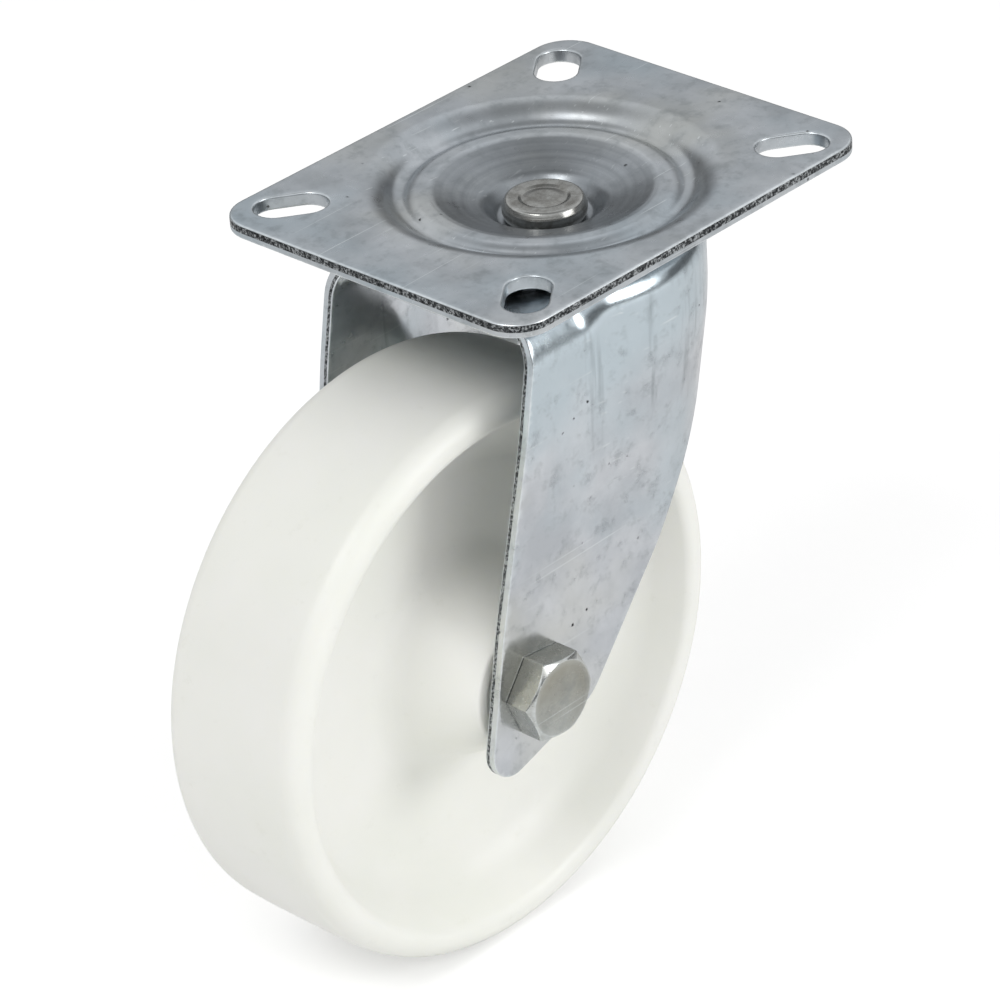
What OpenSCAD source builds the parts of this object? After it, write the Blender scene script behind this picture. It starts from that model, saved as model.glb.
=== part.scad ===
// Swivel castor with a top plate, a pressed steel yoke and a solid polyamide wheel.
// Origin: the swivel axis, on the top face of the plate. +Z up, +X ahead, the wheel trails towards -X.
// Y is the direction of the wheel's axle. All sizes in millimetres.

/* [Top plate] */
// length of the plate, along X
plate_l = 104; // [98:1:112]
// width of the plate, along Y
plate_w = 82; // [78:1:90]
// sheet thickness of the plate
plate_t = 3; // [2.5:0.25:3.25]
// corner radius of the plate
corner_r = 8; // [6:1:12]
// width of a bolt slot
slot_w = 9; // [8:0.5:10]
// end to end length of a bolt slot
slot_l = 15; // [12:0.5:17]
// distance of a slot's centre from the plate's end
slot_in_x = 12.5; // [11:0.5:14]
// distance of a slot's centre from the plate's side
slot_in_y = 9.5; // [8.5:0.5:11]
// angle of the slots to the X axis
slot_turn = 36; // [25:1:45]

/* [Pressed dish] */
// radius at which the plate starts to dip
dish_r = 33.4; // [32.5:0.1:35]
// depth of the gutter round the ball race
gutter_drop = 3.5; // [3:0.1:4]
// depth of the raised ring over the ball race
ring_drop = 2.25; // [1.8:0.05:2.6]
// radius of the well that holds the kingpin's head
well_r = 12.6; // [12:0.1:13.4]

/* [Ball races] */
// diameter of an upper ball
ball_d = 6; // [5.5:0.1:6.2]
// number of upper balls
ball_n = 20; // [16:1:21]
// circle that the upper balls run on, as a radius
ball_r = 23.5; // [23:0.1:24]
// diameter of a lower ball
low_ball_d = 5; // [4.5:0.1:5.3]
// number of lower balls
low_ball_n = 18; // [14:1:20]
// circle that the lower balls run on, as a radius
low_ball_r = 20.5; // [20.2:0.1:21]
// gap between a ball and its races
race_gap = 0.1; // [0.05:0.01:0.1]

/* [Kingpin] */
// diameter of the kingpin's shank
pin_d = 12; // [11:0.5:13]
// greatest diameter of the kingpin's barrel shaped head
pin_head_d = 17.3; // [16.5:0.1:18]
// height of the kingpin's head
pin_head_h = 4.5; // [4:0.1:5]

/* [Yoke] */
// sheet thickness of the yoke
yoke_t = 2.5; // [2.2:0.1:2.8]
// width over the legs, below the crown
crown_w = 56.4; // [55:0.2:58]
// width over the legs, at the axle
fork_w = 52; // [51:0.5:53]
// outer radius of the drawn head round the ball races
head_r = 32; // [31.5:0.1:33]
// outer radius of the bend between the crown and a leg
bend_r = 11; // [8:0.5:12]
// distance that the axle lies behind the swivel axis
trail = 37; // [35:1:39]
// height of the plate's top above the axle
axle_drop = 92; // [90:1:95]
// distance of the legs' front edge from the swivel axis, at the plate's top
leg_front = 32; // [30:0.5:34]

/* [Wheel] */
// diameter of the wheel
wheel_d = 125; // [122:1:127]
// width of the tread
wheel_w = 36; // [34:1:38]
// play between the hub and the washer at each of its ends
hub_play = 0.3; // [0.2:0.05:0.4]
// outer radius of the hub at its ends
hub_r = 13.5; // [13:0.5:15]
// thickness of the web between hub and rim
web_t = 11; // [9:1:14]
// width of the rim's side face
rim_w = 6.5; // [6.2:0.1:8]

/* [Axle] */
// thread diameter of the axle bolt
bolt_d = 10; // [9.5:0.5:10]
// width across the flats of the bolt's head and the nut
hex_af = 17; // [16:0.5:18]
// height of the bolt's head
hex_h = 6.4; // [6:0.1:7]
// angle of the bolt's head
hex_turn = 53; // [0:1:59]
// outer diameter of the tube that the legs clamp
tube_d = 14; // [13.5:0.5:15]
// diameter of a roller
roller_d = 3; // [2.5:0.1:3.5]
// length of a roller
roller_l = 34; // [30:1:35]
// number of rollers
roller_n = 8; // [6:1:9]
// running gap of a roller on each side
roller_gap = 0.03; // [0.02:0.01:0.05]

/* [Hidden] */
$fn = 96;
// the height of each layer of the swivel head follows from the one above it
ball_groove = ball_d / 2 + race_gap;
low_groove = low_ball_d / 2 + race_gap;
ring_under = -ring_drop - plate_t;
ball_z = ring_under + 0.15 * ball_d - ball_groove;
crown_top = ball_z - ball_groove + 0.11 * ball_d;
crown_under = crown_top - yoke_t;
low_ball_z = crown_under + 0.12 * low_ball_d - low_groove;
cup_t = 2;
cup_top = low_ball_z - low_groove + 0.8;
boss_under = crown_under + 0.15;
well_z = boss_under + plate_t;
crown_hole_r = well_r + plate_t + 0.6;
pin_fit = 0.05;

// the axle stack, outwards from the wheel's middle plane
fork_gap = fork_w - 2 * yoke_t;
bore_r = tube_d / 2 + roller_d + 2 * roller_gap;
roller_circle = tube_d / 2 + roller_gap + roller_d / 2;
washer_t = 1.2;
hub_w = fork_gap - 2 * (washer_t + hub_play);
washer_fit = 0.1;
nut_h = 8;
nut_collar_h = 2.6;
nut_fit = 0.05;
insert_t = 1.5;
leg_hole_r = bolt_d / 2 + 0.2;
rim_r = wheel_d / 2 - rim_w;
big = 300;

function unit(v) = v / norm(v);

// the points that round the corner b of a path a, b, c to the radius r
function corner(a, b, c, r, n) =
    let (u = unit(a - b), w = unit(c - b))
    let (half = acos(u * w) / 2, m = b + unit(u + w) * r / sin(half))
    let (p = b + u * r / tan(half), q = b + w * r / tan(half))
    [for (i = [0 : n]) m + r * unit((p - m) * (1 - i / n) + (q - m) * i / n)];

function xy(p) = [p[0], p[1]];

// a path of [x, y, corner radius] points, with its corners rounded
function rounded(path, n = 8) = [
    for (i = [0 : len(path) - 1])
        each (i == 0 || i == len(path) - 1 || path[i][2] == undef)
            ? [xy(path[i])]
            : corner(xy(path[i - 1]), xy(path[i]), xy(path[i + 1]), path[i][2], n)
];

// the same path, moved sideways by d to its left, with mitred corners
function beside(p, d) = [
    for (i = [0 : len(p) - 1])
        let (before = max(i, 1), after = min(i, len(p) - 2))
        let (a = unit(p[before] - p[before - 1]), b = unit(p[after + 1] - p[after]))
        let (m = unit(a + b))
        p[i] + d / (m * a) * [-m[1], m[0]]
];

function backwards(p) = [for (i = [len(p) - 1 : -1 : 0]) p[i]];

// a sheet of thickness t on the left of its path
module sheet(p, t) {
    polygon(concat(p, backwards(beside(p, t))));
}

// turns a section drawn in XY, X outwards, about the wheel's axle
module about_axle() {
    translate([-trail, 0, -axle_drop])
        rotate([-90, 0, 0])
            children();
}

module ball_groove_ring(r, z, groove) {
    translate([0, 0, z])
        rotate_extrude()
            translate([r, 0])
                circle(r = groove);
}

// TOP PLATE: one pressed sheet with four slots and a drawn dish over the ball race
module plate_outline() {
    square([plate_l - 2 * corner_r, plate_w], center = true);
    square([plate_l, plate_w - 2 * corner_r], center = true);
    for (x = [-1, 1], y = [-1, 1])
        translate([x * (plate_l / 2 - corner_r), y * (plate_w / 2 - corner_r)])
            circle(r = corner_r);
}

module bolt_slot() {
    reach = (slot_l - slot_w) / 2;
    square([2 * reach, slot_w], center = true);
    for (x = [-reach, reach])
        translate([x, 0])
            circle(d = slot_w);
}

// the dish's top surface, from the flat of the plate in to the kingpin
dish_top = rounded([
    [dish_r + 4, 0],
    [dish_r, 0, 3.6],
    [dish_r - 3.4, -gutter_drop, 2.5],
    [dish_r - 5.3, -gutter_drop, 1.2],
    [dish_r - 6.9, -ring_drop, 3.3],
    [ball_r - 0.9, -ring_drop, 4],
    [well_r, -ring_drop - 3.5, 3.3],
    [well_r - 3, well_z, 1.2],
    [pin_d / 2 - 2, well_z]
]);

module top_plate() {
    color("#b9c2c6")
    difference() {
        union() {
            translate([0, 0, -plate_t])
                linear_extrude(plate_t)
                    difference() {
                        plate_outline();
                        circle(r = dish_r + 3);
                    }
            rotate_extrude()
                sheet(dish_top, plate_t);
        }
        for (x = [-1, 1], y = [-1, 1])
            translate([x * (plate_l / 2 - slot_in_x), y * (plate_w / 2 - slot_in_y), -plate_t - 1])
                rotate(x * y * slot_turn)
                    linear_extrude(plate_t + 2)
                        bolt_slot();
        ball_groove_ring(ball_r, ball_z, ball_groove);
        translate([0, 0, -big / 2])
            cylinder(d = pin_d + 2 * pin_fit, h = big);
    }
}

// KINGPIN: clamps the plate to the lower race, headed over at both ends
module kingpin() {
    foot = boss_under - cup_t;
    crown = well_z + pin_head_h;
    rim_r = pin_head_d / 2 - 0.8;
    dimple_r = 4.7;
    color("#8c8f90")
    rotate_extrude()
        polygon(rounded([
            [0, crown - 0.35],
            [dimple_r, crown - 0.35, 0.15],
            [dimple_r + 0.5, crown, 0.3],
            [rim_r, crown, 0.5],
            [pin_head_d / 2, (crown + well_z) / 2, 3],
            [rim_r + 0.3, well_z],
            [pin_d / 2, well_z],
            [pin_d / 2, foot],
            [pin_head_d / 2, foot],
            [pin_head_d / 2, foot - 1.4, 1],
            [pin_head_d / 2 - 3, foot - 3.6, 2],
            [0, foot - 3.6]
        ]));
}

// BALLS: two full rings, one each side of the yoke's crown
module upper_ball(i) {
    color("#a5a8aa")
    rotate(360 * i / ball_n)
        translate([ball_r, 0, ball_z])
            sphere(d = ball_d);
}

module lower_ball(i) {
    color("#a5a8aa")
    rotate(360 * i / low_ball_n)
        translate([low_ball_r, 0, low_ball_z])
            sphere(d = low_ball_d);
}

// LOWER RACE: the pressed cup that carries the lower balls
module lower_race() {
    lip_r = low_ball_r + 3.6;
    under = rounded([
        [pin_d / 2 - 2, boss_under - cup_t],
        [13.2, boss_under - cup_t, 1.4],
        [low_ball_r - 3.7, cup_top - cup_t, 3.2],
        [lip_r - 0.8, cup_top - cup_t, 3.2],
        [lip_r + 0.8, cup_top]
    ]);
    color("#9aa3a8")
    difference() {
        rotate_extrude()
            sheet(under, cup_t);
        ball_groove_ring(low_ball_r, low_ball_z, low_groove);
        translate([0, 0, -big / 2])
            cylinder(d = pin_d + 2 * pin_fit, h = big);
    }
}

// YOKE: one sheet, drawn round the ball races and bent down into two legs.
// It is the space between two skins, cut to the outline that the side view shows.

// across the legs: half the section of a skin that lies inset inside the sheet's outer face
function leg_half(inset) = [
    [crown_w / 2 - inset, crown_top - inset, bend_r - inset],
    [crown_w / 2 - inset, crown_top - 26, 40],
    [fork_w / 2 - inset, 16 - axle_drop, 40],
    [fork_w / 2 - inset, -big]
];

module leg_skin(inset, ahead) {
    half = leg_half(inset);
    section = rounded(concat(
        [for (i = [3 : -1 : 0]) [-half[i][0], half[i][1], half[i][2]]],
        half
    ));
    translate([ahead, 0, 0])
        rotate([90, 0, -90])
            linear_extrude(big)
                polygon(section);
}

// round the swivel axis: the drawn head, slightly conical below its straight rim
head_straight = crown_top - 17;
head_foot = -axle_drop + 6;
head_foot_r = fork_w / 2 - 1.6;

module head_skin(inset) {
    rotate_extrude()
        polygon(concat([[0, head_foot]], rounded([
            [0, crown_top - inset],
            [head_r - inset, crown_top - inset, 6 - inset],
            [head_r - inset, head_straight, 40],
            [head_foot_r - inset, head_foot]
        ])));
}

// the legs' outline from the side, as [x, z, corner radius]
side_outline = rounded([
    [-leg_front, 0],
    [-trail - 15.7, -axle_drop - 19.2, 6],
    [-trail + 15.5, -axle_drop - 10.2, 14],
    [-trail + 35, -axle_drop + 13.2, 60],
    [head_r - 22.5, -axle_drop + 31, 40],
    [head_r - 12, -axle_drop + 48, 20],
    [head_r + 3, -axle_drop + 59],
    [head_r + 3, 0]
]);

module yoke() {
    color("#c2cbcf")
    difference() {
        intersection() {
            difference() {
                union() {
                    leg_skin(0, 0);
                    head_skin(0);
                }
                leg_skin(yoke_t, 0.01);
                head_skin(yoke_t);
            }
            rotate([90, 0, 0])
                translate([0, 0, -big / 2])
                    linear_extrude(big)
                        polygon(side_outline);
        }
        translate([0, 0, -big / 2])
            cylinder(r = crown_hole_r, h = big);
        ball_groove_ring(ball_r, ball_z, ball_groove);
        ball_groove_ring(low_ball_r, low_ball_z, low_groove);
        about_axle()
            cylinder(r = leg_hole_r, h = big, center = true);
    }
}

// WHEEL: moulded in one piece, its hub bored for the rollers
wheel_half = [
    [bore_r, hub_w / 2],
    [hub_r, hub_w / 2, 1],
    [hub_r + 9.5, web_t / 2, 8],
    [rim_r - 7, web_t / 2, 12],
    [rim_r, wheel_w / 2, 2.5],
    [wheel_d / 2 - 0.4, wheel_w / 2, 4.5],
    [wheel_d / 2, wheel_w / 4, 120]
];

module wheel() {
    color("#eeeee6")
    about_axle()
        rotate_extrude()
            polygon(rounded(concat(
                wheel_half,
                [for (p = backwards(wheel_half)) [p[0], -p[1], p[2]]]
            )));
}

// AXLE: bolt and nut clamp both legs against the tube, and the wheel runs on rollers round it
module axle_tube() {
    color("#a0a6a8")
    about_axle()
        difference() {
            cylinder(d = tube_d, h = fork_gap, center = true);
            cylinder(d = bolt_d + 0.2, h = fork_gap + 2, center = true);
        }
}

// a hexagon with its corners taken off by a cone at the top, standing on z = 0
module hexagon(h, chamfer) {
    across_r = hex_af / 2;
    intersection() {
        linear_extrude(h)
            polygon([for (i = [0 : 5]) across_r / cos(30) * [cos(60 * i), sin(60 * i)]]);
        rotate_extrude()
            polygon([
                [0, -1],
                [across_r + 3, -1],
                [across_r + 3, h - 3.2 * chamfer],
                [across_r - 0.9, h],
                [0, h]
            ]);
    }
}

module axle_bolt() {
    end = fork_w + nut_h + nut_collar_h + 1.5;
    color("#aab0b2")
    translate([-trail, -fork_w / 2, -axle_drop])
        rotate([90, 0, 0]) {
            rotate(hex_turn)
                hexagon(hex_h, 0.7);
            translate([0, 0, -end + 1])
                cylinder(d = bolt_d, h = end - 1);
            translate([0, 0, -end])
                cylinder(d1 = bolt_d - 2, d2 = bolt_d, h = 1);
        }
}

module axle_nut() {
    collar_r = hex_af / 2 - 0.6;
    hole_d = bolt_d + 2 * nut_fit;
    color("#aab0b2")
    translate([-trail, fork_w / 2, -axle_drop])
        rotate([-90, 0, 0])
            difference() {
                union() {
                    rotate(20)
                        hexagon(nut_h, 0.6);
                    cylinder(r = collar_r, h = nut_h + nut_collar_h - 0.6);
                    translate([0, 0, nut_h + nut_collar_h - 0.6])
                        cylinder(r1 = collar_r, r2 = collar_r - 0.6, h = 0.6);
                }
                translate([0, 0, -1])
                    cylinder(d = hole_d, h = nut_h + nut_collar_h + 2);
                translate([0, 0, nut_h])
                    cylinder(d = hole_d + 2 * insert_t, h = nut_collar_h - 0.6);
            }
}

module nut_insert() {
    color("#3c6ea8")
    translate([-trail, fork_w / 2 + nut_h, -axle_drop])
        rotate([-90, 0, 0])
            difference() {
                cylinder(d = bolt_d + 2 * insert_t, h = nut_collar_h - 0.6);
                translate([0, 0, -1])
                    cylinder(d = bolt_d + 0.04, h = nut_collar_h + 1);
            }
}

module thrust_washer(side) {
    color("#a0a6a8")
    about_axle()
        translate([0, 0, side * (fork_gap - washer_t) / 2])
            difference() {
                cylinder(r = hub_r - 2.5, h = washer_t, center = true);
                cylinder(d = tube_d + 2 * washer_fit, h = washer_t + 2, center = true);
            }
}

module roller_cage() {
    wall = 0.35;
    color("#2f3134")
    about_axle()
        difference() {
            cylinder(r = bore_r - wall, h = roller_l + 6, center = true);
            cylinder(d = tube_d + 2 * wall, h = roller_l + 8, center = true);
            for (i = [1 : roller_n])
                rotate(360 * i / roller_n)
                    translate([roller_circle, 0, 0])
                        cylinder(d = roller_d + 0.3, h = roller_l + 0.4, center = true);
        }
}

module roller(i) {
    color("#a5a8aa")
    about_axle()
        rotate(360 * i / roller_n)
            translate([roller_circle, 0, 0])
                cylinder(d = roller_d, h = roller_l, center = true);
}

top_plate();
kingpin();
lower_race();
yoke();
for (i = [1 : ball_n])
    upper_ball(i);
for (i = [1 : low_ball_n])
    lower_ball(i);
wheel();
axle_tube();
axle_bolt();
axle_nut();
nut_insert();
thrust_washer(1);  // thrust_washer_left
thrust_washer(-1);  // thrust_washer_right
roller_cage();
for (i = [1 : roller_n])
    roller(i);
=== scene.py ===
import math

import bmesh
import bpy
import numpy as np
from mathutils import Matrix, Vector
from mathutils.geometry import delaunay_2d_cdt


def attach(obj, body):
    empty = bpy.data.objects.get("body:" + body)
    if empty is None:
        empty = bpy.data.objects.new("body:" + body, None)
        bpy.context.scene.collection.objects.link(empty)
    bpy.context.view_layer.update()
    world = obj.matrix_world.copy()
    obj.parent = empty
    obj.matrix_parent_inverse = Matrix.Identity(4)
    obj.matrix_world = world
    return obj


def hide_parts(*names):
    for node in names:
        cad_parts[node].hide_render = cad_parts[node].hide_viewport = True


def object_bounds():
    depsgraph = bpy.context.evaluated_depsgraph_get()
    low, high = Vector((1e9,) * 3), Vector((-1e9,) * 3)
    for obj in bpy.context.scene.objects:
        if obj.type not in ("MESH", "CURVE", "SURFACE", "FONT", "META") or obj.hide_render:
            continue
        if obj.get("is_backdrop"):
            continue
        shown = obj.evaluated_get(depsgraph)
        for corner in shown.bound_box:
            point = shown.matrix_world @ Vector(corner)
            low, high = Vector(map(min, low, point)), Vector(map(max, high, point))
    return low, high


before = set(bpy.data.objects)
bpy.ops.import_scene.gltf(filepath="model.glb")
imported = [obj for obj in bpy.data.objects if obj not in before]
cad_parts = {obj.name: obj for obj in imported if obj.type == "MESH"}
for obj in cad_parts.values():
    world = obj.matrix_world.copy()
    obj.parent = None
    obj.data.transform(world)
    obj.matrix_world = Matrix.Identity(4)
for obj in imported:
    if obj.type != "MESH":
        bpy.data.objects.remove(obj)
cad_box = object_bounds()
scene = bpy.context.scene
MM = 0.001

# Camera. It stands where the photograph was taken from: solved from the outlines of the
# plate, the wheel and the bolt's head, and turned slightly about its own axis.
azimuth, elevation, roll = math.radians(-45.717), math.radians(30.283), math.radians(-3.649)
focal_in_frames = 4.8178
across, upward, distance = 8.52, 64.72, 957.11
back = Vector((
    math.sin(azimuth) * math.cos(elevation), -math.cos(azimuth) * math.cos(elevation), math.sin(elevation)
))
level_right = Vector((math.cos(azimuth), math.sin(azimuth), 0))
level_up = back.cross(level_right)
cam_right = math.cos(roll) * level_right + math.sin(roll) * level_up
cam_up = -math.sin(roll) * level_right + math.cos(roll) * level_up
camera = bpy.data.objects.new("camera", bpy.data.cameras.new("camera"))
camera.data.sensor_width = 36
camera.data.lens = focal_in_frames * camera.data.sensor_width
camera.data.clip_start, camera.data.clip_end = 0.01, 50
placing = Matrix((cam_right, cam_up, back)).transposed().to_4x4()
placing.translation = (-across * cam_right - upward * cam_up + distance * back) * MM
camera.matrix_world = placing
scene.collection.objects.link(camera)
scene.camera = camera
scene.view_settings.view_transform = "Standard"


# Studio. A pale sheet of paper as the floor, a white room, and two soft round lamps: the
# key from the upper left and a broad fill from the right.
def linear(hex_colour):
    """An sRGB hex colour as the linear RGBA that a shader socket takes."""
    parts = [int(hex_colour[i:i + 2], 16) / 255 for i in (1, 3, 5)]
    return [c / 12.92 if c <= 0.04045 else ((c + 0.055) / 1.055) ** 2.4 for c in parts] + [1.0]


def put(tree, kind, inputs=None, **settings):
    """Adds one shader node; an input that is a socket is linked, any other is its value."""
    node = tree.nodes.new("ShaderNode" + kind)
    for name, value in settings.items():
        setattr(node, name, value)
    for key, value in (inputs or {}).items():
        if isinstance(value, bpy.types.NodeSocket):
            tree.links.new(value, node.inputs[key])
        else:
            node.inputs[key].default_value = value
    return node


floor_z, floor_half = cad_box[0].z - 0.0002, 3.0
floor_mesh = bpy.data.meshes.new("floor")
floor_mesh.from_pydata(
    [(x * floor_half, y * floor_half, floor_z) for x, y in ((-1, -1), (1, -1), (1, 1), (-1, 1))], [],
    [(0, 1, 2, 3)]
)
floor = bpy.data.objects.new("floor", floor_mesh)
scene.collection.objects.link(floor)
floor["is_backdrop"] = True

# Matt coated paper. To the camera it gives a little light of its own, so it is white but
# for the object's soft shadow.
paper = bpy.data.materials.new("paper_coated_matt")
paper.use_nodes = True
tree = paper.node_tree
shader = tree.nodes["Principled BSDF"]
shader.inputs["Base Color"].default_value = linear("#f4f4f4")
shader.inputs["Roughness"].default_value = 0.9
shader.inputs["Specular IOR Level"].default_value = 0.1
path = put(tree, "LightPath")
glow = put(tree, "Emission", {"Color": linear("#ffffff"), "Strength": 0.30})
both = put(tree, "AddShader", {0: shader.outputs[0], 1: glow.outputs[0]})
seen = put(tree, "MixShader", {0: path.outputs["Is Camera Ray"], 1: shader.outputs[0], 2: both.outputs[0]})
tree.links.new(seen.outputs[0], tree.nodes["Material Output"].inputs["Surface"])
floor_mesh.materials.append(paper)

# The room: white to the camera. Metal sees a ring of light halfway up the walls, a dark
# band below it and a dimmer ceiling.
world = bpy.data.worlds.new("studio")
scene.world = world
world.use_nodes = True
tree = world.node_tree
tree.nodes.clear()
path = put(tree, "LightPath")
toward = put(tree, "TexCoord").outputs["Generated"]
height = put(tree, "SeparateXYZ", {0: toward}).outputs["Z"]
mirrored = put(tree, "ValToRGB", {0: height})
levels = mirrored.color_ramp
levels.interpolation = "EASE"
levels.elements[0].position, levels.elements[0].color = 0.28, (0.15, 0.15, 0.15, 1)
levels.elements[1].position, levels.elements[1].color = 0.95, (0.45, 0.45, 0.45, 1)
for at in (0.48, 0.74):
    levels.elements.new(at).color = (1, 1, 1, 1)
clear = put(
    tree, "Math", {0: path.outputs["Is Camera Ray"], 1: path.outputs["Is Transmission Ray"]},
    operation="MAXIMUM"
)
lighting = put(tree, "Background", {"Color": linear("#ffffff"), "Strength": 0.66})
reflected = put(tree, "Background", {"Color": linear("#fbfdff"), "Strength": mirrored.outputs["Color"]})
white = put(tree, "Background", {"Color": linear("#ffffff"), "Strength": 1.0})
room = put(
    tree, "MixShader", {0: path.outputs["Is Glossy Ray"], 1: lighting.outputs[0], 2: reflected.outputs[0]}
)
room = put(tree, "MixShader", {0: clear.outputs[0], 1: room.outputs[0], 2: white.outputs[0]})
put(tree, "OutputWorld", {"Surface": room.outputs[0]})

aim = Vector((-0.02, 0, -0.07))
for name, at, across_lamp, watts in (
    ("key", (-0.62, -0.10, 0.72), 0.40, 2.3),
    ("fill", (0.30, -0.85, 0.30), 0.50, 2.6),
):
    lamp = bpy.data.lights.new(name, "AREA")
    lamp.shape, lamp.size, lamp.energy = "DISK", across_lamp, watts
    holder = bpy.data.objects.new(name, lamp)
    holder.location = at
    holder.rotation_euler = (aim - Vector(at)).to_track_quat("-Z", "Y").to_euler()
    scene.collection.objects.link(holder)


# Top plate. One piece of 3 mm steel sheet, blanked with four slots and drawn into a dish
# over the ball race. Zinc plated after pressing; its sheared rim is torn and darker.
def filleted(points, step=0.4):
    """A path of (x, y, corner radius) points with each corner rounded."""
    path = []
    for i, (x, y, *bend) in enumerate(points):
        here = np.array((x, y), float)
        if not bend or i in (0, len(points) - 1):
            path.append(here)
            continue
        before = np.array(points[i - 1][:2], float) - here
        after = np.array(points[i + 1][:2], float) - here
        before /= np.linalg.norm(before)
        after /= np.linalg.norm(after)
        half = math.acos(np.clip(before @ after, -1, 1)) / 2
        mid = (before + after) / np.linalg.norm(before + after)
        centre = here + mid * bend[0] / math.sin(half)
        start, stop = (here + way * bend[0] / math.tan(half) - centre for way in (before, after))
        count = max(4, math.ceil(bend[0] * (math.pi - 2 * half) / step))
        for t in np.linspace(0, 1, count + 1):
            spoke = start * (1 - t) + stop * t
            path.append(centre + bend[0] * spoke / np.linalg.norm(spoke))
    return np.array(path)


def closer(path, step, closed=False):
    """The same path with points added, so that none is further than step from the next."""
    path = list(path) + ([path[0]] if closed else [])
    out = []
    for a, b in zip(path[:-1], path[1:]):
        count = max(1, math.ceil(np.linalg.norm(np.subtract(b, a)) / step - 1e-6))
        out += [np.asarray(a) + (np.asarray(b) - a) * k / count for k in range(count)]
    return np.array(out if closed else out + [path[-1]])


def lathe(profile, steps=256, closed=False):
    """A profile of (radius, height) points turned about Z."""
    profile = np.asarray(profile, float)
    turn = np.arange(steps) * 2 * math.pi / steps
    verts = np.stack([
        np.outer(profile[:, 0], np.cos(turn)), np.outer(profile[:, 0], np.sin(turn)),
        np.repeat(profile[:, 1:], steps, 1)
    ], -1).reshape(-1, 3)
    rows = len(profile)
    faces = []
    for i in range(rows if closed else rows - 1):
        a, b = i * steps, (i + 1) % rows * steps
        faces += [(a + k, a + (k + 1) % steps, b + (k + 1) % steps, b + k) for k in range(steps)]
    return verts, faces


def within(points, loop):
    """Which 2D points lie inside a closed loop."""
    x, y = points[:, 0][:, None], points[:, 1][:, None]
    ax, ay = loop[:, 0], loop[:, 1]
    bx, by = np.roll(ax, -1), np.roll(ay, -1)
    crossing = (ay > y) != (by > y)
    with np.errstate(divide="ignore", invalid="ignore"):
        cut = ax + (y - ay) * (bx - ax) / (by - ay)
    return (crossing & (x < cut)).sum(1) % 2 == 1


def fill(outer, holes, inner):
    """A flat mesh between an outer loop and holes, with the inner points as vertices."""
    loops = [outer] + list(holes)
    verts, edges = [], []
    for loop in loops:
        first = len(verts)
        verts += list(loop)
        edges += [(first + i, first + (i + 1) % len(loop)) for i in range(len(loop))]
    keep = within(inner, outer)
    for hole in holes:
        keep &= ~within(inner, hole)
    verts += list(inner[keep])
    result = delaunay_2d_cdt([Vector(v) for v in verts], edges, [], 0, 1e-5)
    flat = np.array([tuple(v) for v in result[0]])
    faces = np.array([f for f in result[2] if len(f) == 3])
    centres = flat[faces].mean(1)
    good = within(centres, outer)
    for hole in holes:
        good &= ~within(centres, hole)
    return flat, [tuple(int(i) for i in f) for f in faces[good]]


class Builder:
    """Gathers one piece's vertices, in millimetres, and its faces with their material."""

    def __init__(self):
        self.verts, self.faces, self.finish, self.worn = [], [], [], []

    def add(self, verts, faces, finish=0, worn=0.0):
        first = len(self.verts)
        self.verts += [tuple(v) for v in verts]
        self.worn += list(np.broadcast_to(worn, len(verts)))
        self.faces += [tuple(first + i for i in f) for f in faces]
        self.finish += list(np.broadcast_to(finish, len(faces)))

    def band(self, rows, finishes, worn, closed=True):
        """Quads between rows of points; each has its own finish, and each row its wear."""
        count = len(rows[0])
        verts = np.concatenate(rows)
        faces, finish = [], []
        for i, kind in enumerate(finishes):
            for k in range(count if closed else count - 1):
                n = (k + 1) % count
                faces.append((i * count + k, i * count + n, (i + 1) * count + n, (i + 1) * count + k))
                finish.append(kind)
        self.add(verts, faces, finish, np.repeat(worn, count))

    def piece(self, name, body, node, slot, materials, sharp=38, weld=0.02):
        mesh = bpy.data.meshes.new(name)
        mesh.from_pydata((np.array(self.verts, float) * MM).tolist(), [], self.faces)
        mesh.polygons.foreach_set("material_index", np.array(self.finish, int))
        mesh.attributes.new("worn", "FLOAT", "POINT").data.foreach_set("value", np.array(self.worn, float))
        tidy = bmesh.new()
        tidy.from_mesh(mesh)
        bmesh.ops.remove_doubles(tidy, verts=tidy.verts, dist=weld * MM)
        bmesh.ops.dissolve_degenerate(tidy, edges=tidy.edges, dist=0.002 * MM)
        bmesh.ops.recalc_face_normals(tidy, faces=tidy.faces)
        loose = [v for v in tidy.verts if not v.link_faces]
        bmesh.ops.delete(tidy, geom=loose, context="VERTS")
        tidy.to_mesh(mesh)
        open_edges = sum(1 for e in tidy.edges if not e.is_manifold)
        tidy.free()
        if open_edges:
            print(name, "has", open_edges, "open edges")
        for material in materials:
            mesh.materials.append(material)
        mesh.shade_smooth()
        mesh.set_sharp_from_angle(angle=math.radians(sharp))
        piece = bpy.data.objects.new(name, mesh)
        scene.collection.objects.link(piece)
        normals = piece.modifiers.new("normals", "WEIGHTED_NORMAL")
        normals.keep_sharp = True
        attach(piece, body)
        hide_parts(node)
        return piece


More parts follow.
